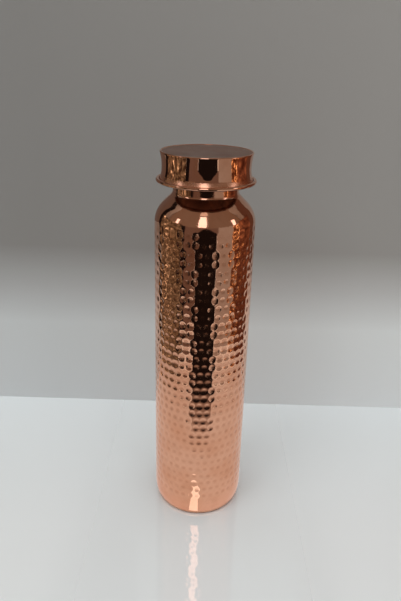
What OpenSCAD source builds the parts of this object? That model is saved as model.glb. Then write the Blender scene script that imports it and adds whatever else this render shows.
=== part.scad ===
// Hammered copper water bottle with a hollow screw cap.
// +Z is up, and the origin is the centre of the base, on the surface that the bottle stands on.
// The vessel is one drawn and spun sheet. A thick threaded collar is brazed inside its neck. The cap is
// spun from sheet round an inner threaded sleeve, and a washer seals it on the collar's lip.
// The hammered dents are a surface finish and are not cut here.

/* [Overall] */
// Height with the cap screwed home
total_h = 280; // [220:1:340]
// Outside diameter of the vessel
body_d = 70; // [62:1:90]

/* [Vessel] */
// Thickness of the vessel's sheet
wall_t = 0.7; // [0.5:0.1:1.4]
// Height at which the side starts to draw in towards the base
heel_h = 12; // [8:0.5:20]
// Radius of the slow curve at the heel
heel_r = 36; // [28:1:60]
// Radius of the tight corner between the heel and the base
foot_r = 3.5; // [2.5:0.25:6]
// Width of the flat ring that the bottle stands on
ring_w = 5.4; // [3:0.1:8]
// Depth of the shallow recess inside that ring
recess_h = 1; // [0.4:0.1:2]
// Radius that rounds the side into the shoulder
shoulder_r = 20; // [14:0.5:24]
// Slope of the shoulder below the neck, in degrees from level
shoulder_slope = 45; // [35:1:50]

/* [Neck] */
// Outside diameter of the neck
neck_d = 45; // [37:0.5:54]
// Height of neck that shows between the shoulder and the cap
neck_show = 7.5; // [5:0.5:14]
// Fillet between the shoulder and the neck
neck_fillet = 4; // [0.5:0.1:5]
// Gap between the neck's sheet edge and the cap
edge_gap = 1.2; // [0.8:0.1:3]
// Wall of the collar under its thread
collar_t = 1.6; // [1.3:0.1:2.4]
// Roundness of the lip's inner and outer edges
lip_round = 0.5; // [0.2:0.1:0.6]

/* [Thread] */
// Rise in one turn
pitch = 4; // [3.3:0.1:4.8]
// Height of the thread ridge
thread_h = 1.2; // [0.8:0.1:1.5]
// Width of the ridge where it meets the wall
ridge_base = 2.4; // [1.8:0.1:2.4]
// Width of the ridge at its crest
ridge_crest = 1; // [0.6:0.1:1.1]
// Radial clearance between the cap's thread and the neck's thread
thread_gap = 0.4; // [0.3:0.05:0.5]
// Plain height left below and above the neck's thread
thread_end = 0.9; // [0.5:0.1:2]

/* [Cap] */
// Height of the cap
cap_h = 20.2; // [16.8:0.1:26]
// Diameter at the narrowest part of the concave side
waist_d = 60.2; // [49.2:0.2:70]
// Height of the narrowest part above the underside
waist_h = 9.8; // [8:0.1:12]
// How far the top rim stands out past the narrowest part
rim_flare = 1.2; // [0.8:0.1:4]
// How far the foot of the side stands out past the narrowest part
foot_flare = 1.4; // [0.8:0.1:4]
// How far the flange stands out past the foot of the side
flange_reach = 2.5; // [2.5:0.1:6]
// Thickness of the flange's rolled bead
bead_d = 2.4; // [2:0.1:3.2]
// Thickness of the cap's sheet
cap_t = 0.7; // [0.5:0.05:1]
// Width of the rounded rim round the top disc
rim_w = 1.3; // [1.1:0.1:2]
// Depth of the top disc below the rim
disc_drop = 0.25; // [0.1:0.05:0.6]
// Wall of the threaded sleeve inside the cap
sleeve_t = 1.4; // [1:0.1:1.8]
// Height of the sleeve's lower edge above the underside
sleeve_lift = 0.4; // [0.2:0.1:1]

/* [Seal] */
// Thickness of the sealing washer
washer_h = 2; // [1.5:0.1:2.4]
// Radial gap between the washer and the sleeve
washer_gap = 0.3; // [0.2:0.05:0.6]
// Thickness of the disc that the washer seats against
seat_t = 1; // [0.8:0.1:1.4]
// Hollow height between that disc and the top disc
head_gap = 3.1; // [1:0.1:6]

/* [Hidden] */
$fn = 96;

// Radii of the neck and of the threads on both sides of it
body_r = body_d / 2;
neck_r = neck_d / 2;
collar_r = neck_r - wall_t;
root_r = collar_r - thread_h;
mouth_r = root_r - collar_t;
sleeve_in_r = collar_r + thread_gap;
sleeve_out_r = sleeve_in_r + sleeve_t;

// Radii of the cap
waist_r = waist_d / 2;
rim_r = waist_r + rim_flare;
skirt_foot_r = waist_r + foot_flare;
flange_r = skirt_foot_r + flange_reach;
bead_r = bead_d / 2;
disc_r = rim_r - rim_w;

// The shoulder turns through its slope angle on an arc, and then runs straight to the neck
shoulder_turn = 90 - shoulder_slope;
arc_in = shoulder_r * (1 - cos(shoulder_turn));
arc_up = shoulder_r * sin(shoulder_turn);
slope_up = (body_r - arc_in - neck_r) * tan(shoulder_slope);

// Heights in the cap, from the top down
cap_z = total_h - cap_h;
disc_z = total_h - disc_drop - cap_t;
seat_z = disc_z - head_gap - seat_t;
lip_z = seat_z - washer_h;
plate_z = cap_z + bead_r - cap_t / 2;
skirt_z = plate_z + cap_t;
sleeve_z = cap_z + sleeve_lift;

// Heights of the neck and the shoulder, from the cap down
edge_z = cap_z - edge_gap;
neck_z = cap_z - neck_show;
side_top_z = neck_z - slope_up - arc_up;

// The collar's lower end stops just above the curve into the shoulder
collar_clear = 0.2;
collar_z = neck_z + neck_fillet * tan(shoulder_slope / 2) + collar_clear;

// The foot corner is tangent to the base and to the inside of the heel's curve
foot_turn = asin((heel_h - foot_r) / (heel_r - foot_r));
foot_c = body_r - heel_r + (heel_r - foot_r) * cos(foot_turn);

// The recess under the base is inside the ring, and has a sloping edge of this width
recess_r = foot_c - ring_w;
recess_edge = 3;

// Threads: heights of the ridge's middle at both ends, and the turns that fit between them
neck_thread_z = edge_z + thread_end + ridge_base / 2;
cap_thread_z = neck_thread_z + pitch / 2;
thread_top_z = lip_z - thread_end - ridge_base / 2;
neck_turns = (thread_top_z - neck_thread_z) / pitch;
cap_turns = (thread_top_z - cap_thread_z) / pitch;

// How deep a ridge is rooted in its wall, the turn over which it fades out, and its steps in a turn
ridge_root = 0.4;
fade_turns = 0.12;
turn_steps = 40;
// Height that is left of a ridge at its very end, as a share of its full height
fade_end = 0.15;

// How far a cutting shape runs past what it cuts
past = 1;

// Colours
copper = [0.79, 0.48, 0.34];
copper_dull = [0.55, 0.38, 0.31];
silicone = [0.92, 0.91, 0.87];

// Points on an arc about [x, y], from angle a0 to a1, with both ends
function arc(x, y, r, a0, a1, steps = 12) =
    [for (i = [0:steps]) [x + r * cos(a0 + (a1 - a0) * i / steps), y + r * sin(a0 + (a1 - a0) * i / steps)]];

// One side of the vessel's sheet, from the centre of the base up to the neck's edge.
// It is the outside for an inset of 0, and the inside for an inset of the sheet's thickness.
function vessel_line(inset) =
    let (
        fillet = neck_fillet + inset,
        nr = neck_r - inset,
        rise = fillet * tan(shoulder_slope / 2),
        corner_z = neck_z - inset * tan(shoulder_slope / 2)
    )
    concat(
        [
            [0, recess_h + inset],
            [recess_r - recess_edge, recess_h + inset],
            [recess_r, inset]
        ],
        arc(foot_c, foot_r, foot_r - inset, -90, -foot_turn),
        arc(body_r - heel_r, heel_h, heel_r - inset, -foot_turn, 0),
        arc(body_r - shoulder_r, side_top_z, shoulder_r - inset, 0, shoulder_turn),
        arc(nr + fillet, corner_z + rise, fillet, 270 - shoulder_slope, 180),
        [[nr, edge_z]]
    );

// A closed outline between two lines that run the same way
function between(outer, inner) = concat(outer, [for (i = [len(inner) - 1:-1:0]) inner[i]]);

// Radius of an arc that leaves a vertical tangent and moves in by dx over a rise of dy
function sag_radius(dx, dy) = (dx * dx + dy * dy) / (2 * dx);

// One side of the cap's concave skirt, from its foot up to its rim
function skirt_line(inset) =
    let (
        low_y = waist_h - (skirt_z - cap_z),
        high_y = cap_h - waist_h - rim_w / 2,
        low_r = sag_radius(skirt_foot_r - waist_r, low_y),
        high_r = sag_radius(rim_r - waist_r, high_y),
        waist_z = cap_z + waist_h
    )
    concat(
        arc(waist_r + low_r, waist_z, low_r + inset, 180 + asin(low_y / low_r), 180, 10),
        arc(waist_r + high_r, waist_z, high_r + inset, 180, 180 - asin(high_y / high_r), 10)
    );

// A helical ridge: a trapezium of four points swept along the thread, fading out at both ends.
// dir is 1 for a ridge that stands outward from wall_r, and -1 for one that stands inward.
module ridge(wall_r, dir, start_z, turns) {
    steps = round(turns * turn_steps);
    function fade(i) = max(fade_end, min(1, i / (fade_turns * turn_steps), (steps - i) / (fade_turns * turn_steps)));
    function section(i) =
        let (
            a = 360 * i / turn_steps,
            z = start_z + pitch * i / turn_steps,
            base_r = wall_r - dir * ridge_root,
            crest_r = wall_r + dir * thread_h * fade(i)
        )
        [
            [base_r * cos(a), base_r * sin(a), z - ridge_base / 2],
            [crest_r * cos(a), crest_r * sin(a), z - ridge_crest / 2],
            [crest_r * cos(a), crest_r * sin(a), z + ridge_crest / 2],
            [base_r * cos(a), base_r * sin(a), z + ridge_base / 2]
        ];
    points = [for (i = [0:steps]) each section(i)];
    // Each side strip joins corner j of one section to corner j + 1 of the next, as two triangles
    sides = [
        for (i = [0:steps - 1])
        for (j = [0:3])
        let (
            p = 4 * i + j,
            q = 4 * i + (j + 1) % 4
        )
        each [[p, q, q + 4], [p, q + 4, p + 4]]
    ];
    ends = [[0, 3, 2], [0, 2, 1], [4 * steps, 4 * steps + 1, 4 * steps + 2], [4 * steps, 4 * steps + 2, 4 * steps + 3]];
    faces = concat(sides, ends);
    flipped = [for (f = faces) [f[0], f[2], f[1]]];
    polyhedron(points = points, faces = dir > 0 ? faces : flipped);
}

// Drawn and spun vessel: base, heel, straight side, shoulder and sheet neck in one
module body_shell() {
    color(copper)
    rotate_extrude()
    polygon(between(vessel_line(0), vessel_line(wall_t)));
}

// Threaded collar brazed inside the sheet neck; its bore is the mouth and its top is the sealing lip
module neck_collar() {
    color(copper)
    union() {
        rotate_extrude()
        polygon(concat(
            [[mouth_r, collar_z], [collar_r, collar_z], [collar_r, edge_z], [root_r, edge_z]],
            arc(root_r - lip_round, lip_z - lip_round, lip_round, 0, 90, 4),
            arc(mouth_r + lip_round, lip_z - lip_round, lip_round, 90, 180, 4)
        ));
        ridge(root_r, 1, neck_thread_z, neck_turns);
    }
}

// Flat ring that is pressed between the collar's lip and the cap's seat disc
module sealing_washer() {
    color(silicone)
    translate([0, 0, lip_z])
    difference() {
        cylinder(h = washer_h, r = sleeve_in_r - washer_gap);
        translate([0, 0, -past])
        cylinder(h = washer_h + 2 * past, r = mouth_r);
    }
}

// Concave outer side of the cap, with a rolled rim round the top disc
module cap_skirt() {
    outer = skirt_line(0);
    inner = skirt_line(cap_t);
    color(copper)
    rotate_extrude()
    polygon(concat(
        [[inner[0][0], skirt_z]],
        outer,
        arc(rim_r - rim_w / 2, total_h - rim_w / 2, rim_w / 2, 0, 180, 8),
        [[disc_r, disc_z]],
        [for (i = [len(inner) - 2:-1:1]) inner[i]]
    ));
}

// Flat disc set into the rim
module cap_top_disc() {
    color(copper_dull)
    translate([0, 0, disc_z])
    cylinder(h = cap_t, r = disc_r);
}

// Ring that closes the underside of the cap and ends in a rolled bead
module cap_flange() {
    color(copper)
    rotate_extrude()
    union() {
        translate([sleeve_out_r, plate_z])
        square([flange_r - bead_r - sleeve_out_r, cap_t]);
        translate([flange_r - bead_r, cap_z + bead_r])
        circle(r = bead_r);
    }
}

// Inner sleeve with the cap's thread
module cap_sleeve() {
    sleeve_h = seat_z + seat_t - sleeve_z;
    color(copper)
    union() {
        translate([0, 0, sleeve_z])
        difference() {
            cylinder(h = sleeve_h, r = sleeve_out_r);
            translate([0, 0, -past])
            cylinder(h = sleeve_h + 2 * past, r = sleeve_in_r);
        }
        ridge(sleeve_in_r, -1, cap_thread_z, cap_turns);
    }
}

// Disc that closes the sleeve above the washer
module cap_seat_disc() {
    color(copper)
    translate([0, 0, seat_z])
    cylinder(h = seat_t, r = sleeve_in_r);
}

body_shell();
neck_collar();
sealing_washer();
cap_skirt();
cap_top_disc();
cap_flange();
cap_sleeve();
cap_seat_disc();
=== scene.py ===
import math

import bpy
import numpy as np
from mathutils import Matrix, Vector


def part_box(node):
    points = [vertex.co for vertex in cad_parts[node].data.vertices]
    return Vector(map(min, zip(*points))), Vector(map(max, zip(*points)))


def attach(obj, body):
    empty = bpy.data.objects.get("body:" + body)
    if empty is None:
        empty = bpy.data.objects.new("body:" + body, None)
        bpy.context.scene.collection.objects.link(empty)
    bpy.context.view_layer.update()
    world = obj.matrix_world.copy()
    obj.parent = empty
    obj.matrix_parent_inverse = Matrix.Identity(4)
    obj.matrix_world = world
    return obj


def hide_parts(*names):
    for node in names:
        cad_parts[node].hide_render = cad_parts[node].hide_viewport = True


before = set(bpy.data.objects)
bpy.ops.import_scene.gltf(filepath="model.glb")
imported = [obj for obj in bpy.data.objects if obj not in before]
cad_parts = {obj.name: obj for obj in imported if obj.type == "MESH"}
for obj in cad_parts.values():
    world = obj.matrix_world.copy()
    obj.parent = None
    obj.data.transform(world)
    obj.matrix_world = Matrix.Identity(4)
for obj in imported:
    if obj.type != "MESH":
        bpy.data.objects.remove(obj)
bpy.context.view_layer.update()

scene = bpy.context.scene
mm = 0.001


# ---------------------------------------------------------------- sizes that come from the frame

def outer_radius(node):
    """Largest radius of a round CAD node."""
    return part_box(node)[1].x


def heights(node):
    """Lowest and highest point of a CAD node."""
    low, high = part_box(node)
    return low.z, high.z


body_r = outer_radius("body_shell")
edge_z = heights("body_shell")[1]
collar_r = outer_radius("neck_collar")
collar_z, lip_z = heights("neck_collar")
washer_r = outer_radius("sealing_washer")
washer_z, seat_z = heights("sealing_washer")
disc_r = outer_radius("cap_top_disc")
disc_z, disc_top_z = heights("cap_top_disc")
flange_r = outer_radius("cap_flange")
cap_z = heights("cap_flange")[0]
skirt_z, total_h = heights("cap_skirt")
sleeve_out_r = outer_radius("cap_sleeve")
sleeve_z, sleeve_top_z = heights("cap_sleeve")
sleeve_in_r = outer_radius("cap_seat_disc")

# ---------------------------------------------------------------- sizes that the boxes don't give

# Vessel
wall_t = 0.7 * mm
heel_h = 12 * mm
heel_r = 36 * mm
foot_r = 3.5 * mm
ring_w = 5.4 * mm
recess_h = 1 * mm
recess_edge = 3 * mm
recess_round = 2 * mm
recess_turn = 0.4
shoulder_r = 20 * mm
shoulder_slope = math.radians(45)
neck_show = 7.5 * mm
neck_fillet = 4 * mm
neck_ring = 0.5 * mm
soft_edge = 0.15 * mm
hair = 0.01 * mm

# Collar, threads and washer
thread_h = 1.2 * mm
thread_pitch = 4 * mm
thread_end = 0.9 * mm
ridge_base = 2.4 * mm
ridge_crest = 1 * mm
ridge_round = 0.18 * mm
ridge_root = 0.3 * mm
ridge_fade = 0.12
ridge_least = 0.05
collar_t = 1.6 * mm
collar_gap = 0.05 * mm
collar_step = 0.1 * mm
collar_ramp = 0.25 * mm
lip_round = 0.5 * mm
washer_edge = 0.3 * mm

# Cap
cap_t = 0.7 * mm
bead_r = 1.2 * mm
rim_w = 1.3 * mm
rim_flare = 1.2 * mm
foot_flare = 1.4 * mm
foot_edge = 0.25 * mm
waist_h = 9.8 * mm
brazed_h = 2.6 * mm
# How low on the bead, and how far into the crease, the flange gets painted shade
shade_low_share = 0.4
shade_crease_share = 0.72
disc_edge = 0.12 * mm
disc_crown = 0.10 * mm

# Worked out from the sizes above
neck_r = collar_r + wall_t
root_r = collar_r - thread_h
mouth_r = root_r - collar_t
waist_r = disc_r + rim_w - rim_flare
neck_z = cap_z - neck_show
shoulder_turn = math.pi / 2 - shoulder_slope
arc_in = shoulder_r * (1 - math.cos(shoulder_turn))
arc_up = shoulder_r * math.sin(shoulder_turn)
side_top_z = neck_z - (body_r - arc_in - neck_r) * math.tan(shoulder_slope) - arc_up
foot_turn = math.asin((heel_h - foot_r) / (heel_r - foot_r))
foot_c = body_r - heel_r + (heel_r - foot_r) * math.cos(foot_turn)

# Hammered dents: rows come in pairs, and the two rows of a pair line up
dents_round = 40
dent_pairs = 17
pair_pitch = 12.78 * mm
row_gap = 6.35 * mm
top_row_z = 231 * mm
dent_r = 2.5 * mm
dent_depth = 0.36 * mm

# Towards the base the dents get shallower: full depth above full_z, low_share of it below shallow_z
low_share = 0.60
shallow_z = 60 * mm
full_z = 145 * mm

# Uneven hammering: how far rows and dents stray, how much dents differ, how faint the shoulder's dents are
row_turn_stray = 0.06
row_z_stray = 0.12 * mm
dent_across_stray = 0.22 * mm
dent_up_stray = 0.20 * mm
dent_size_stray = 0.07
dent_depth_stray = 0.22
shoulder_least, shoulder_most = 0.25, 0.8
rows_seed = 11
seeds_per_pair = 100

# A dent's edge is rounded over rim_soft, and its faint tail is cut off at rim_drop
rim_soft = 0.03 * mm
rim_drop = 0.004 * mm

# How far a row reaches, and how far dents can lie below the lowest row, above the side and in from it
row_reach = 1.3 * dent_r
below_rows = 1.5 * dent_r
above_side = 6 * mm
in_from_side = 2 * mm
slack = 1 * mm

# Rows from this far below the side's top are the shoulder's
shoulder_rows = 2 * mm

# Mesh steps
samples_per_dent = 8
samples_per_row = 7
lathe_steps = 256
thread_steps = 96


# ---------------------------------------------------------------- mesh tools

same_point = 1e-7
full_turn = 2 * math.pi


def arc(cr, cz, r, a0, a1, steps):
    """Points (radius, height) on an arc about (cr, cz), angles in radians, both ends included."""
    angles = [a0 + (a1 - a0) * i / steps for i in range(steps + 1)]
    return [(cr + r * math.cos(a), cz + r * math.sin(a)) for a in angles]


def without_repeats(points):
    """The points, less any that is within same_point of the one before it."""
    kept = []
    for p in points:
        if not kept or math.dist(p, kept[-1]) > same_point:
            kept.append(p)
    return kept


def mesh_object(name, verts, faces, materials, face_material=None, sharp=50):
    """A smooth-shaded object, with edges over sharp degrees kept crisp."""
    mesh = bpy.data.meshes.new(name)
    mesh.from_pydata([tuple(v) for v in verts], [], faces)
    for m in materials:
        mesh.materials.append(m)
    mesh.polygons.foreach_set("use_smooth", [True] * len(faces))
    if face_material is not None:
        mesh.polygons.foreach_set("material_index", face_material)
    mesh.update()
    mesh.set_sharp_from_angle(angle=math.radians(sharp))
    obj = bpy.data.objects.new(name, mesh)
    scene.collection.objects.link(obj)
    return obj


def lathe_data(rings, steps):
    """Vertices and faces of a closed surface of revolution. rings is a list of (radius, height) pairs, or of
    (radius array, height array) pairs with one value per step; a ring of radius 0 is a pole."""
    angles = np.arange(steps) * full_turn / steps
    verts, index = [], []
    for r, z in rings:
        if np.isscalar(r) and r < same_point:
            index.append([len(verts)])
            verts.append((0.0, 0.0, float(z)))
            continue
        r = np.broadcast_to(r, steps)
        z = np.broadcast_to(z, steps)
        index.append(list(range(len(verts), len(verts) + steps)))
        verts.extend(zip(r * np.cos(angles), r * np.sin(angles), z))
    faces, ring_of = [], []

    def strip(a, b, tag):
        for j in range(steps):
            k = (j + 1) % steps
            if len(a) == 1 and len(b) == 1:
                return
            if len(a) == 1:
                faces.append((a[0], b[k], b[j]))
            elif len(b) == 1:
                faces.append((a[j], a[k], b[0]))
            else:
                faces.append((a[j], a[k], b[k], b[j]))
            ring_of.append(tag)
    for i in range(len(rings) - 1):
        strip(index[i], index[i + 1], i)
    if len(index[0]) > 1 and len(index[-1]) > 1:
        strip(index[-1], index[0], len(rings) - 1)
    return verts, faces, ring_of


def lathe(name, profile, materials, material_of=None):
    """A turned piece. The profile runs anticlockwise seen with the axis on the left, so normals point out."""
    profile = without_repeats(profile)
    verts, faces, ring_of = lathe_data(profile, lathe_steps)
    face_material = [material_of(profile[i]) for i in ring_of] if material_of else None
    return mesh_object(name, verts, faces, materials, face_material)


# ---------------------------------------------------------------- materials

def new_material(name):
    m = bpy.data.materials.new(name)
    m.use_nodes = True
    m.node_tree.nodes.clear()
    return m


class Graph:
    """Short helpers for building one material's nodes."""

    def __init__(self, name):
        self.material = new_material(name)
        self.tree = self.material.node_tree
        self.out = self.node("ShaderNodeOutputMaterial")

    def node(self, kind, **settings):
        n = self.tree.nodes.new(kind)
        for key, value in settings.items():
            setattr(n, key, value)
        return n

    def link(self, a, b):
        self.tree.links.new(a, b)

    def position(self):
        return self.node("ShaderNodeTexCoord").outputs["Object"]

    def noise(self, scale, detail=3.0, roughness=0.5, vector=None):
        """Noise with scale features in a metre."""
        n = self.node("ShaderNodeTexNoise")
        n.inputs["Scale"].default_value = scale
        n.inputs["Detail"].default_value = detail
        n.inputs["Roughness"].default_value = roughness
        self.link(vector if vector is not None else self.position(), n.inputs["Vector"])
        return n.outputs["Fac"]

    def ramp(self, fac, stops):
        """A colour for each value; stops is a list of (value, colour)."""
        n = self.node("ShaderNodeValToRGB")
        e = n.color_ramp.elements
        while len(e) < len(stops):
            e.new(0.5)
        for slot, (place, colour) in zip(e, stops):
            slot.position = place
            slot.color = (*colour, 1)
        self.link(fac, n.inputs["Fac"])
        return n.outputs["Color"]

    def spread(self, fac, low, high, from_low=0.3, from_high=0.7):
        """Values from_low to from_high become low to high, and stop there."""
        n = self.node("ShaderNodeMapRange")
        n.inputs["From Min"].default_value = from_low
        n.inputs["From Max"].default_value = from_high
        n.inputs["To Min"].default_value = low
        n.inputs["To Max"].default_value = high
        self.link(fac, n.inputs["Value"])
        return n.outputs["Result"]

    def math(self, operation, a, b):
        n = self.node("ShaderNodeMath", operation=operation)
        for socket, value in zip(n.inputs, (a, b)):
            if isinstance(value, (int, float)):
                socket.default_value = value
            else:
                self.link(value, socket)
        return n.outputs["Value"]

    def place(self):
        """The X, Y and Z of the object's own coordinates, as sockets by name."""
        n = self.node("ShaderNodeSeparateXYZ")
        self.link(self.position(), n.inputs["Vector"])
        return n.outputs

    def axis_distance(self):
        """Distance from the bottle's axis."""
        place = self.place()
        xx = self.math("MULTIPLY", place["X"], place["X"])
        yy = self.math("MULTIPLY", place["Y"], place["Y"])
        return self.math("SQRT", self.math("ADD", xx, yy), 0.0)

    def radius_height(self):
        """(distance from the bottle's axis, height, 0): marks that run round the axis are stripes in it."""
        join = self.node("ShaderNodeCombineXYZ")
        self.link(self.axis_distance(), join.inputs["X"])
        self.link(self.place()["Z"], join.inputs["Y"])
        return join.outputs["Vector"]

    def multiplied(self, a, b):
        """Two colours multiplied."""
        n = self.node("ShaderNodeMix", data_type="RGBA", blend_type="MULTIPLY")
        n.inputs["Factor"].default_value = 1.0
        self.link(a, n.inputs["A"])
        self.link(b, n.inputs["B"])
        return n.outputs["Result"]

    def bump(self, height, distance, strength=1.0, normal=None):
        n = self.node("ShaderNodeBump")
        n.inputs["Strength"].default_value = strength
        n.inputs["Distance"].default_value = distance
        self.link(height, n.inputs["Height"])
        if normal is not None:
            self.link(normal, n.inputs["Normal"])
        return n.outputs["Normal"]

    def principled(self, **values):
        n = self.node("ShaderNodeBsdfPrincipled")
        for key, value in values.items():
            socket = n.inputs[key]
            if isinstance(value, (int, float)):
                socket.default_value = value
            elif isinstance(value, tuple):
                socket.default_value = (*value, 1)
            else:
                self.link(value, socket)
        return self.finish(n.outputs["BSDF"])

    def emission(self, colour, strength=1.0):
        """Light of a fixed colour, or of the colour that a socket gives."""
        n = self.node("ShaderNodeEmission")
        if isinstance(colour, tuple):
            n.inputs["Color"].default_value = (*colour, 1)
        else:
            self.link(colour, n.inputs["Color"])
        n.inputs["Strength"].default_value = strength
        return n.outputs["Emission"]

    def blended(self, share, first, second):
        """The first shader where share is 0, the second where it is 1."""
        n = self.node("ShaderNodeMixShader")
        self.link(share, n.inputs["Fac"])
        self.link(first, n.inputs[1])
        self.link(second, n.inputs[2])
        return n.outputs["Shader"]

    def clear(self):
        return self.node("ShaderNodeBsdfTransparent").outputs["BSDF"]

    def front_only(self, shader):
        """The shader on a face's front; its back is clear."""
        back = self.node("ShaderNodeNewGeometry").outputs["Backfacing"]
        return self.blended(back, shader, self.clear())

    def finish(self, shader):
        """Make the shader the material's surface."""
        self.link(shader, self.out.inputs["Surface"])
        return self.material


white = (1, 1, 1)
copper_bright = (0.93, 0.50, 0.33)
copper_deep = (0.84, 0.40, 0.24)
copper_tarnish = (0.55, 0.27, 0.16)
# Painted shade for the dents' hollows: darkest at their bottoms, none on the ridges
hollow_painted_shade = [(0.0, (0.78, 0.72, 0.68)), (0.5, (0.95, 0.93, 0.92)), (1.0, white)]

# Noise features in a metre, and the heights of the two kinds of waves in the surface
tone_scale = 38
stain_scale = 120
wear_scale = 60
grain_scale = 700
grain_h = 0.02 * mm
wave_scale = 260
wave_h = 0.1 * mm

# Pointiness in the bottom of a dent, and where the dent's painted shade and its added roughness have faded
# out
hollow_deep = 0.487
hollow_shade_end = 0.507
hollow_rough = 0.503
hollow_roughness = 0.13


def copper(name, rough_low, rough_high, tarnish=0.0, turned=0.0, turned_scale=2500, dented=False,
           deep=copper_deep, bright=copper_bright):
    """Copper with a slow change of tone, faint stains, and marks left by polishing or turning; dented copper
    also gets painted shade in its dents' hollows.
    """
    g = Graph(name)
    stained = g.node("ShaderNodeMix", data_type="RGBA")
    g.link(g.spread(g.noise(stain_scale, 5, 0.6), 0.0, 0.25 + tarnish, 0.50, 0.78), stained.inputs["Factor"])
    g.link(g.ramp(g.noise(tone_scale, 4, 0.55), [(0.30, deep), (0.62, bright)]), stained.inputs["A"])
    stained.inputs["B"].default_value = (*copper_tarnish, 1)
    colour = stained.outputs["Result"]
    rough = g.spread(g.noise(wear_scale, 6, 0.65), rough_low, rough_high, 0.35, 0.68)
    normal = g.bump(g.noise(grain_scale, 3, 0.6), grain_h, 0.4)
    if dented:
        # Hammering leaves the sheet wavy; the hollows get painted shade, darker than the ridges, and a little
        # more roughness
        normal = g.bump(g.noise(wave_scale, 2, 0.5), wave_h, 0.5, normal)
        point = g.node("ShaderNodeNewGeometry").outputs["Pointiness"]
        colour = g.multiplied(colour, g.ramp(g.spread(point, 0, 1, hollow_deep, hollow_shade_end), hollow_painted_shade))
        rough = g.math("ADD", rough, g.spread(point, hollow_roughness, 0.0, hollow_deep, hollow_rough))
    if turned:
        marks = g.noise(turned_scale, 2, 0.5, g.radius_height())
        normal = g.bump(marks, grain_h, turned, normal)
    return g.principled(**{"Base Color": colour, "Metallic": 1.0, "Roughness": rough, "Normal": normal})


def silicone(name):
    """Pale, slightly translucent rubber with a fine grain."""
    g = Graph(name)
    colour = g.ramp(g.noise(300, 3), [(0.3, (0.78, 0.77, 0.72)), (0.7, (0.86, 0.85, 0.81))])
    normal = g.bump(g.noise(2600, 2), 0.03 * mm, 0.3)
    return g.principled(**{"Base Color": colour, "Roughness": g.spread(g.noise(500), 0.42, 0.55),
                           "Normal": normal, "Subsurface Weight": 0.25, "Subsurface Scale": 2 * mm})


hammered = copper("hammered_copper", 0.06, 0.12, turned=0.12, turned_scale=1500, dented=True)
polished = copper("polished_copper", 0.035, 0.085, turned=0.2)
spun = copper("spun_copper", 0.30, 0.42, tarnish=0.2, turned=0.8, turned_scale=1800,
              deep=(0.385, 0.20, 0.145), bright=(0.45, 0.25, 0.18))
raw_inside = copper("raw_copper_inside", 0.30, 0.42, tarnish=0.35, turned=0.5, turned_scale=900)
# Nearly black copper: painted shade in the crease at the skirt's foot and under and round the flange's bead
painted_shade_copper = copper("copper_painted_shade", 0.30, 0.45, deep=(0.030, 0.018, 0.014), bright=(0.115, 0.05, 0.033))
brazed = copper("brazed_copper", 0.20, 0.32, tarnish=0.25)
washer_white = silicone("washer_silicone")


# ---------------------------------------------------------------- the vessel

def vessel_line(inset, side_rings=None):
    """One side of the vessel's sheet, from the centre of the base up to the neck's edge."""
    fillet = neck_fillet + inset
    corner_z = neck_z - inset * math.tan(shoulder_slope / 2)
    rise = fillet * math.tan(shoulder_slope / 2)
    nr = neck_r - inset
    recess_r = foot_c - ring_w
    heel = arc(body_r - heel_r, heel_h, heel_r - inset, -foot_turn, 0, 6)
    shoulder = arc(body_r - shoulder_r, side_top_z, shoulder_r - inset, 0, shoulder_turn, 12)
    return (
        [(0, recess_h + inset), (0.4 * recess_r, recess_h + inset)]
        + arc(recess_r - recess_edge, recess_h + inset - recess_round, recess_round,
              math.pi / 2, math.pi / 2 - recess_turn, 3)
        + [(recess_r, inset)]
        + arc(foot_c, foot_r, foot_r - inset, -math.pi / 2, -foot_turn, 8)
        + heel
        + (side_rings or [])
        + shoulder
        + arc(nr + fillet, corner_z + rise, fillet, 3 * math.pi / 2 - shoulder_slope, math.pi, 10)
        + [(nr, corner_z + rise + neck_ring), (nr, edge_z - 4 * neck_ring), (nr, edge_z - neck_ring)]
    )


def dent_rows():
    """(height, first angle, row seed) of every row of dents, top down. Each pair sits half a dent on."""
    rows = []
    rng = np.random.default_rng(rows_seed)
    step = full_turn / dents_round
    for pair in range(dent_pairs):
        start = step * (0.5 * (pair % 2) + row_turn_stray * rng.uniform(-1, 1))
        for row in (0, 1):
            z = top_row_z - pair * pair_pitch - row * row_gap + row_z_stray * rng.uniform(-1, 1)
            rows.append((z, start, seeds_per_pair * pair + row))
    return rows


def depth_share(z):
    """Share of the full depth that the dents have at a height."""
    return low_share + (1 - low_share) * min(1, max(0, (z - shallow_z) / (full_z - shallow_z)))


def dent_field(theta, z):
    """Depth of the hammering, in metres, at each angle and height."""
    depth = np.zeros_like(theta)
    step = full_turn / dents_round
    for row_z, start, seed in dent_rows():
        near = np.abs(z - row_z) < row_reach
        if not near.any():
            continue
        rng = np.random.default_rng(seed)
        slide = rng.uniform(-1, 1, dents_round) * dent_across_stray
        lift = rng.uniform(-1, 1, dents_round) * dent_up_stray
        size = dent_r * (1 + dent_size_stray * rng.uniform(-1, 1, dents_round))
        deep = dent_depth * (1 + dent_depth_stray * rng.uniform(-1, 1, dents_round))
        deep *= depth_share(row_z)
        if row_z > side_top_z - shoulder_rows:
            deep *= rng.uniform(shoulder_least, shoulder_most, dents_round)
        t, h = theta[near], z[near]
        best = np.zeros_like(t)
        middle = np.round((t - start) / step).astype(int)
        for k in (-1, 0, 1):
            i = (middle + k) % dents_round
            across = body_r * ((t - start) - step * (middle + k)) - slide[i]
            up = h - row_z - lift[i]
            share = 1 - (across ** 2 + up ** 2) / size[i] ** 2
            d = deep[i] * share
            best = np.maximum(best, 0.5 * (d + np.sqrt(d * d + rim_soft ** 2)) - rim_drop)
        depth[near] = np.maximum(depth[near], best)
    return depth


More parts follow.
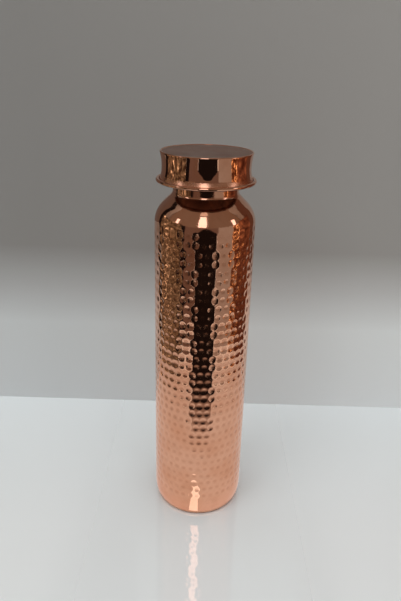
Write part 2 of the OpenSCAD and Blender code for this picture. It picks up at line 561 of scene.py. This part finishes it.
def build_vessel():
    steps = dents_round * samples_per_dent
    theta = np.arange(steps) * full_turn / steps
    lowest_row_z = dent_rows()[-1][0]
    low = lowest_row_z - below_rows
    count = int(round((side_top_z - low) / (pair_pitch / (2 * samples_per_row))))
    side = [(body_r, low + (side_top_z - low) * i / count) for i in range(count)]
    outer = without_repeats(vessel_line(0, side))
    inner = without_repeats(vessel_line(wall_t))
    rings = []
    for r, z in outer:
        ring_z = np.full(steps, z)
        if low - slack < z < side_top_z + above_side and r > body_r - in_from_side:
            d = dent_field(theta, ring_z)
            slope = 0 if z <= side_top_z else math.asin(min(1, (z - side_top_z) / shoulder_r))
            rings.append((r - d * math.cos(slope), ring_z - d * math.sin(slope)))
        else:
            rings.append((r, z))
    edge = [(neck_r, edge_z - soft_edge), (neck_r - soft_edge, edge_z),
            (neck_r - wall_t + soft_edge, edge_z), (neck_r - wall_t, edge_z - soft_edge)]
    rings += edge + inner[::-1]
    n_outer = len(outer) + len(edge) // 2
    verts, faces, ring_of = lathe_data(rings, steps)
    inside = [0 if i < n_outer else 1 for i in ring_of]
    piece = mesh_object("vessel", verts, faces, [hammered, raw_inside], inside, 60)
    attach(piece, "bottle")
    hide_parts("body_shell")


# ---------------------------------------------------------------- threads

def ridge_mesh(wall_r, outward, start_z, turns):
    """Vertices and faces of a helical ridge with rounded corners, rooted in its wall, fading at both ends."""
    steps = int(round(turns * thread_steps))
    fade_steps = ridge_fade * thread_steps
    foot = wall_r - outward * ridge_root
    half_b, half_c = ridge_base / 2, ridge_crest / 2
    verts, faces = [], []
    for i in range(steps + 1):
        a = full_turn * i / thread_steps
        z = start_z + thread_pitch * i / thread_steps
        fade = max(ridge_least, min(1, i / fade_steps, (steps - i) / fade_steps))
        crest = wall_r + outward * thread_h * fade
        near = crest - outward * ridge_round * fade
        section = [(foot, -half_b), (near, -half_c - ridge_round * 0.6), (crest, -half_c + ridge_round),
                   (crest, half_c - ridge_round), (near, half_c + ridge_round * 0.6), (foot, half_b)]
        verts += [(r * math.cos(a), r * math.sin(a), z + dz) for r, dz in section]
    n = len(section)
    for i in range(steps):
        for j in range(n):
            k = (j + 1) % n
            quad = (n * i + j, n * i + k, n * (i + 1) + k, n * (i + 1) + j)
            faces.append(quad if outward > 0 else quad[::-1])
    cap0, cap1 = tuple(range(n)), tuple(n * steps + j for j in range(n))
    faces.append(cap0[::-1] if outward > 0 else cap0)
    faces.append(cap1 if outward > 0 else cap1[::-1])
    return verts, faces


def joined(name, parts, materials):
    """One object from several (vertices, faces) parts."""
    verts, faces = [], []
    for v, f in parts:
        base = len(verts)
        verts += list(v)
        faces += [tuple(base + i for i in face) for face in f]
    return mesh_object(name, verts, faces, materials)


neck_thread_z = edge_z + thread_end + ridge_base / 2
cap_thread_z = neck_thread_z + thread_pitch / 2
thread_top_z = lip_z - thread_end - ridge_base / 2


def build_collar():
    outside = collar_r - collar_gap
    step_z = edge_z + collar_step
    profile = without_repeats(
        [(mouth_r, collar_z), (outside, collar_z), (outside, step_z),
         (root_r + collar_ramp, step_z), (root_r, step_z + collar_ramp)]
        + arc(root_r - lip_round, lip_z - lip_round, lip_round, 0, math.pi / 2, 6)
        + arc(mouth_r + lip_round, lip_z - lip_round, lip_round, math.pi / 2, math.pi, 6))
    v, f, _ = lathe_data(profile, lathe_steps)
    turns = (thread_top_z - neck_thread_z) / thread_pitch
    ridge = ridge_mesh(root_r, 1, neck_thread_z, turns)
    piece = joined("threaded_collar", [(v, f), ridge], [polished])
    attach(piece, "bottle")
    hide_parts("neck_collar")


def build_sleeve():
    e = soft_edge
    profile = [(sleeve_in_r, sleeve_z + e), (sleeve_in_r + e, sleeve_z),
               (sleeve_out_r - e, sleeve_z), (sleeve_out_r, sleeve_z + e),
               (sleeve_out_r, sleeve_top_z - e), (sleeve_out_r - e, sleeve_top_z),
               (sleeve_in_r, sleeve_top_z)]
    v, f, _ = lathe_data(profile, lathe_steps)
    turns = (thread_top_z - cap_thread_z) / thread_pitch
    ridge = ridge_mesh(sleeve_in_r, -1, cap_thread_z, turns)
    piece = joined("cap_thread_sleeve", [(v, f), ridge], [polished])
    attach(piece, "cap")
    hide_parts("cap_sleeve")


# ---------------------------------------------------------------- the cap

def sag_radius(dx, dy):
    """Radius of an arc that leaves a vertical tangent and moves in by dx over a rise of dy."""
    return (dx * dx + dy * dy) / (2 * dx)


def skirt_line(inset, steps=16):
    """The skirt's concave side, from its foot over its waist to its rim."""
    low_y = waist_h - (skirt_z - cap_z)
    high_y = total_h - cap_z - waist_h - rim_w / 2
    low_r = sag_radius(foot_flare, low_y)
    high_r = sag_radius(rim_flare, high_y)
    waist_z = cap_z + waist_h
    low_a, high_a = math.asin(low_y / low_r), math.asin(high_y / high_r)
    return (arc(waist_r + low_r, waist_z, low_r + inset, math.pi + low_a, math.pi, steps)
            + arc(waist_r + high_r, waist_z, high_r + inset, math.pi, math.pi - high_a, steps))


def build_skirt():
    outer, inner = skirt_line(0), skirt_line(cap_t)
    rim_r = disc_r + rim_w
    low_r = outer[0][0]
    foot = [(low_r, skirt_z), (low_r - hair, skirt_z + foot_edge)]
    profile = ([(inner[0][0], skirt_z)] + foot + outer[1:]
               + arc(rim_r - rim_w / 2, total_h - rim_w / 2, rim_w / 2, 0, math.pi, 14)
               + [(disc_r, disc_z)] + inner[-2:0:-1])

    def finish(p):
        """Painted shade at the very foot, brazed just above it, and polished from there up."""
        if p == foot[0]:
            return 1
        return 2 if p[1] < skirt_z + brazed_h else 0
    piece = lathe("cap_side", profile, [polished, painted_shade_copper, brazed], material_of=finish)
    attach(piece, "cap")
    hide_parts("cap_skirt")


def build_top():
    edge_r = disc_r - hair
    crown_z = disc_top_z - disc_crown
    rings = [(0, disc_z), (disc_r * 0.5, disc_z), (disc_r - disc_edge, disc_z), (edge_r, disc_z + disc_edge),
             (edge_r, crown_z - disc_edge), (edge_r - disc_edge, crown_z)]
    for share in (0.96, 0.9, 0.8, 0.65, 0.5, 0.35, 0.2, 0.08, 0):
        rings.append((disc_r * share, disc_top_z - disc_crown * share ** 4))
    piece = lathe("cap_top", rings, [spun])
    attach(piece, "cap")
    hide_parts("cap_top_disc")


def build_flange():
    plate_low, plate_high = cap_z + bead_r - cap_t / 2, cap_z + bead_r + cap_t / 2
    c = flange_r - bead_r
    a = math.asin(cap_t / 2 / bead_r)
    profile = ([(sleeve_out_r, plate_high), (sleeve_out_r, plate_low)]
               + arc(c, cap_z + bead_r, bead_r, math.pi + a, 3 * math.pi - a, 40))

    def painted_shade_zone(p):
        """Painted shade on the underside, low on the bead, and in the crease between bead and plate."""
        under = p[0] < c and p[1] < cap_z + bead_r
        lower = p[1] < cap_z + shade_low_share * bead_r
        crease = p[0] < c - shade_crease_share * bead_r
        return 1 if under or lower or crease else 0
    piece = lathe("cap_flange_ring", profile, [polished, painted_shade_copper], material_of=painted_shade_zone)
    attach(piece, "cap")
    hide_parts("cap_flange")


def build_seat():
    low, high = heights("cap_seat_disc")
    rings = [(0, low), (sleeve_in_r * 0.5, low), (sleeve_in_r, low), (sleeve_in_r, high), (0, high)]
    piece = lathe("cap_seat", rings, [spun])
    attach(piece, "cap")
    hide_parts("cap_seat_disc")


def build_washer():
    e = washer_edge
    q = math.pi / 2
    profile = []
    for r, z, start in [(washer_r - e, washer_z + e, -q), (washer_r - e, seat_z - e, 0),
                        (mouth_r + e, seat_z - e, q), (mouth_r + e, washer_z + e, 2 * q)]:
        profile += arc(r, z, e, start, start + q, 5)
    piece = lathe("washer", profile, [washer_white])
    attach(piece, "seal")
    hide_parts("sealing_washer")


build_vessel()
build_collar()
build_washer()
build_sleeve()
build_skirt()
build_top()
build_flange()
build_seat()


# ---------------------------------------------------------------- floor, backdrop and reflection cards

# In metres, from the bottle's axis or from its foot
wall_y = 0.127
wall_top = 2.0
wall_gap = 0.002
floor_half = 3.0
gloss_half = 0.05
matt_half = 0.11
near_r = 0.262
side_r = 0.285
ring_r = 0.325
ring_top = 0.31
figure_r = 0.39
lamp_r = 0.44
centre_r = 0.9
ceiling_r = 1.0
table_edge_r = 0.225

# The flat cards lie just over the floor, one over the other
glow_z = 0.3 * mm
shade_z = 0.5 * mm
glint_z = 0.6 * mm


def glow(name, colour, strength):
    g = Graph(name)
    return g.finish(g.emission(colour, strength))


def speckled_glow(name, stops, strength, scale):
    g = Graph(name)
    return g.finish(g.emission(g.ramp(g.noise(scale, 4, 0.65), stops), strength))


def stage_mesh(name, verts, faces, material):
    """Part of the set, not of the bottle."""
    mesh = bpy.data.meshes.new(name)
    mesh.from_pydata(verts, [], faces)
    mesh.materials.append(material)
    obj = bpy.data.objects.new(name, mesh)
    scene.collection.objects.link(obj)
    return obj


def reflection_card(name, verts, faces, material):
    """Part of the set that only shows in reflections."""
    obj = stage_mesh(name, verts, faces, material)
    obj.visible_camera = False
    obj.visible_diffuse = False
    obj.visible_shadow = False
    obj.visible_transmission = False


def one_face(corners):
    return [tuple(range(len(corners)))]


def strip_faces(count):
    """Faces of a strip whose points are listed in pairs."""
    return [(2 * i, 2 * i + 1, 2 * i + 3, 2 * i + 2) for i in range(count)]


def round_point(azimuth, r, z):
    """A point round the bottle. azimuth is from the camera's side, in degrees, positive to the right."""
    a = math.radians(azimuth)
    return r * math.sin(a), -r * math.cos(a), z


def azimuths(middle, width, steps):
    return [middle - width / 2 + width * i / steps for i in range(steps + 1)]


def curved_card(name, azimuth, width, low, high, radius, material, steps=10):
    """A card that stands round the bottle."""
    verts = []
    for a in azimuths(azimuth, width, steps):
        verts += [round_point(a, radius, low), round_point(a, radius, high)]
    reflection_card(name, verts, strip_faces(steps), material)


def ground_card(name, azimuth, width, r_in, r_out, z, material, steps):
    """Part of a flat ring that lies on the table round the bottle, facing up."""
    verts = []
    for a in azimuths(azimuth, width, steps):
        verts += [round_point(a, r_in, z), round_point(a, r_out, z)]
    reflection_card(name, verts, strip_faces(steps), material)


def wall_card(name, azimuth_a, azimuth_b, low, high, material):
    """A card against the backdrop, between two azimuths seen from the bottle's axis."""
    y = wall_y - wall_gap
    a, b = [math.copysign(y * math.tan(math.radians(180 - abs(az))), az) for az in (azimuth_a, azimuth_b)]
    corners = [(a, y, low), (b, y, low), (b, y, high), (a, y, high)]
    reflection_card(name, corners, one_face(corners), material)


def pale_floor():
    """Pale paint, glossy in a strip through the bottle's foot, and a little darker towards the backdrop."""
    g = Graph("pale_floor")
    place = g.place()
    back = g.spread(place["Y"], 0, 1, -gloss_half, wall_y)
    colour = g.ramp(back, [(0.0, (0.765, 0.81, 0.825)), (1.0, (0.66, 0.71, 0.73))])
    aside = g.math("ABSOLUTE", place["X"], 0.0)
    rough = g.spread(aside, 0.04, 0.5, gloss_half, matt_half)
    return g.principled(**{"Base Color": colour, "Roughness": rough, "Specular IOR Level": 1.0, "IOR": 1.9})


def build_floor():
    corners = [(-floor_half, -floor_half, 0), (floor_half, -floor_half, 0),
               (floor_half, floor_half, 0), (-floor_half, floor_half, 0)]
    stage_mesh("floor", corners, one_face(corners), pale_floor())


def build_backdrop():
    """Grey above and painted pale at its foot, where light bounced from the table falls, and painted lighter
    to the right; seen from the front only, so it never hides the bottle.
    """
    g = Graph("grey_backdrop")
    place = g.place()
    # Painted light: pale where the table's bounce falls on the backdrop's foot, grey above
    tone = g.ramp(g.spread(place["Z"], 0, 1, 0.0, 0.25),
                  [(0.0, (0.82, 0.86, 0.88)), (0.36, (0.78, 0.82, 0.83)), (0.52, (0.55, 0.56, 0.56)),
                   (0.68, (0.34, 0.334, 0.322)), (1.0, (0.335, 0.33, 0.32))])
    # Painted light: the right side lighter than the left
    side = g.ramp(g.spread(place["X"], 0, 1, -0.15, 0.15), [(0.0, (0.78, 0.785, 0.79)), (1.0, white)])
    paint = g.node("ShaderNodeBsdfDiffuse")
    g.link(g.multiplied(tone, side), paint.inputs["Color"])
    material = g.finish(g.front_only(paint.outputs["BSDF"]))
    corners = [(-floor_half, wall_y, 0), (floor_half, wall_y, 0),
               (floor_half, wall_y, wall_top), (-floor_half, wall_y, wall_top)]
    backdrop = stage_mesh("backdrop", corners, one_face(corners), material)
    backdrop.visible_shadow = False


build_floor()
build_backdrop()

black = (0.009, 0.007, 0.007)
dark = glow("card_dark", black, 1)
brown = glow("card_brown", (0.135, 0.098, 0.082), 1)
deep_brown = glow("card_deep_brown", (0.10, 0.055, 0.04), 1)
grey = glow("card_grey", (0.30, 0.285, 0.27), 1)
shade = glow("card_shade", (0.115, 0.095, 0.085), 1)
panel = glow("card_panel", (0.97, 0.93, 0.98), 2.0)
panel_faint = glow("card_panel_faint", (0.75, 0.66, 0.62), 1.0)
orange = speckled_glow("card_orange", [(0.40, (0.06, 0.022, 0.011)), (0.52, (0.21, 0.085, 0.036)),
                                       (0.65, (2.3, 1.4, 0.7))], 0.85, 27)
deep_orange = speckled_glow("card_deep_orange", [(0.40, (0.05, 0.018, 0.010)), (0.55, (0.13, 0.055, 0.033)),
                                                 (0.70, (0.30, 0.135, 0.07))], 1.2, 20)
gold = speckled_glow("card_gold", [(0.43, (0.036, 0.024, 0.016)), (0.52, (0.13, 0.108, 0.075)),
                                   (0.61, (0.25, 0.205, 0.14)), (0.70, (2.6, 2.3, 1.7))], 1.3, 27)

# Dark and coloured bands that the bottle mirrors: stand-ins for the room in the photo
wall_card("card_left_bar", -118, -107, 0, 0.60, dark)
wall_card("card_left_far", -150, -118, 0.2, 0.60, shade)
wall_card("card_right_near", 118, 106, 0, 0.50, deep_brown)
wall_card("card_right_far", 132, 118, 0.13, 0.50, deep_brown)
curved_card("card_left_gold", -79, 58, 0, ring_top, near_r, gold)
curved_card("card_door_bar", -46, 9, 0, ring_top, ring_r, dark)
curved_card("card_left_brown", -31, 21, 0, ring_top, ring_r, brown)
curved_card("card_centre", 4, 60, 0, 0.45, centre_r, brown)
curved_card("card_right_grey", 46, 34, 0, ring_top, ring_r, grey)
curved_card("card_right_orange", 71, 17, 0, ring_top, ring_r, orange)
curved_card("card_right_deep", 97, 36, 0, ring_top + 0.02, side_r, deep_orange)

# A dark figure behind the camera, narrow towards its head: (azimuth, height) round its outline
figure = [round_point(azimuth, figure_r, z)
          for azimuth, z in [(-20, 0.0), (27, 0.0), (27, 0.17), (17, 0.235), (13, 0.285), (8, 0.302),
                             (-1, 0.302), (-6, 0.285), (-10, 0.235), (-20, 0.17)]]
reflection_card("card_figure", figure, one_face(figure), dark)

# Ceiling panels and lamps
curved_card("card_panel_front", -5, 19, 0.357, 0.87, lamp_r, panel)
curved_card("card_panel_high", -5, 30, 1.95, 3.4, ceiling_r, panel_faint)
curved_card("card_lamp_right", 71, 9, 0.42, 0.82, ceiling_r, panel)
curved_card("card_lamp_left", -67, 7, 0.46, 0.82, ceiling_r, panel)


def table_shade():
    """The table in front of the dark figure: clear near the bottle and black at the table's edge."""
    g = Graph("card_table_shade")
    away = g.spread(g.axis_distance(), 0, 1, 0.13, table_edge_r)
    tones = g.ramp(away, [(0.0, (0.40, 0.37, 0.35)), (0.45, (0.26, 0.215, 0.19)),
                          (0.85, (0.10, 0.075, 0.066)), (1.0, black)])
    material = g.finish(g.blended(g.spread(away, 0, 1, 0.0, 0.35), g.clear(), g.emission(tones)))
    outline = [(-16, 0.12), (20, 0.12), (29, table_edge_r),
               (27, figure_r), (-20, figure_r), (-22, table_edge_r)]
    corners = [round_point(azimuth, r, shade_z) for azimuth, r in outline]
    reflection_card("card_table_shade", corners, one_face(corners), material)


def table_glow():
    """The table is brightest beside the bottle. Only shows in reflections, where it shades the dents."""
    g = Graph("card_table_glow")
    away = g.spread(g.axis_distance(), 0, 1, body_r, near_r)
    tones = g.ramp(away, [(0.0, (0.69, 0.62, 0.60)), (0.10, (0.63, 0.60, 0.58)), (0.25, (0.615, 0.60, 0.59)),
                          (0.60, (0.60, 0.585, 0.575)), (1.0, (0.48, 0.465, 0.455))])
    material = g.finish(g.front_only(g.emission(tones)))
    ground_card("card_table_glow", 0, 360, body_r + 0.2 * mm, near_r, glow_z, material, 72)


def table_glint():
    """The front panel's mirror image in the table, close to the heel."""
    g = Graph("card_table_glint")
    material = g.finish(g.front_only(g.emission((0.93, 1.0, 1.04), 1.4)))
    ground_card("card_table_glint", -5, 13, body_r + 0.5 * mm, 0.068, glint_z, material, 2)


table_shade()
table_glow()
table_glint()


# ---------------------------------------------------------------- lights and world

def soft_light(name, place, target, size, power, colour):
    """A square lamp that doesn't show in reflections: the copper mirrors the cards instead."""
    light = bpy.data.lights.new(name, "AREA")
    light.shape = "RECTANGLE"
    light.size = size
    light.size_y = size
    light.energy = power
    light.color = colour
    obj = bpy.data.objects.new(name, light)
    obj.location = place
    obj.rotation_euler = (Vector(target) - Vector(place)).to_track_quat("-Z", "Y").to_euler()
    scene.collection.objects.link(obj)
    obj.visible_glossy = False


soft_light("overhead", (0, -0.5, 2.0), (0, 0, 0), 3.0, 50, white)
soft_light("key", (-1.1, -0.9, 1.5), (0, 0, 0.1), 1.0, 7, (1.0, 0.99, 0.97))

world = bpy.data.worlds.new("studio")
world.use_nodes = True
background = world.node_tree.nodes["Background"]
background.inputs["Color"].default_value = (0.18, 0.14, 0.11, 1)
background.inputs["Strength"].default_value = 1.0
scene.world = world
scene.view_settings.view_transform = "Standard"


# ---------------------------------------------------------------- camera

# Placed and turned to match the bottle's ellipses in the photo
camera_place = Vector((0, -0.3794, 0.3351))
pitch, roll, yaw = (math.radians(a) for a in (23.24, 1.57, -0.24))
forward = Vector((math.sin(yaw) * math.cos(pitch), math.cos(yaw) * math.cos(pitch), -math.sin(pitch)))
level_right = Vector((math.cos(yaw), -math.sin(yaw), 0))
level_up = level_right.cross(forward)
right = math.cos(roll) * level_right + math.sin(roll) * level_up
up = -math.sin(roll) * level_right + math.cos(roll) * level_up
camera_data = bpy.data.cameras.new("camera")
camera_data.lens = 33.62
camera_data.sensor_width = 36
camera_data.clip_start = 0.01
camera = bpy.data.objects.new("camera", camera_data)
turn = Matrix((right, up, -forward)).transposed()
camera.matrix_world = Matrix.Translation(camera_place) @ turn.to_4x4()
scene.collection.objects.link(camera)
scene.camera = camera
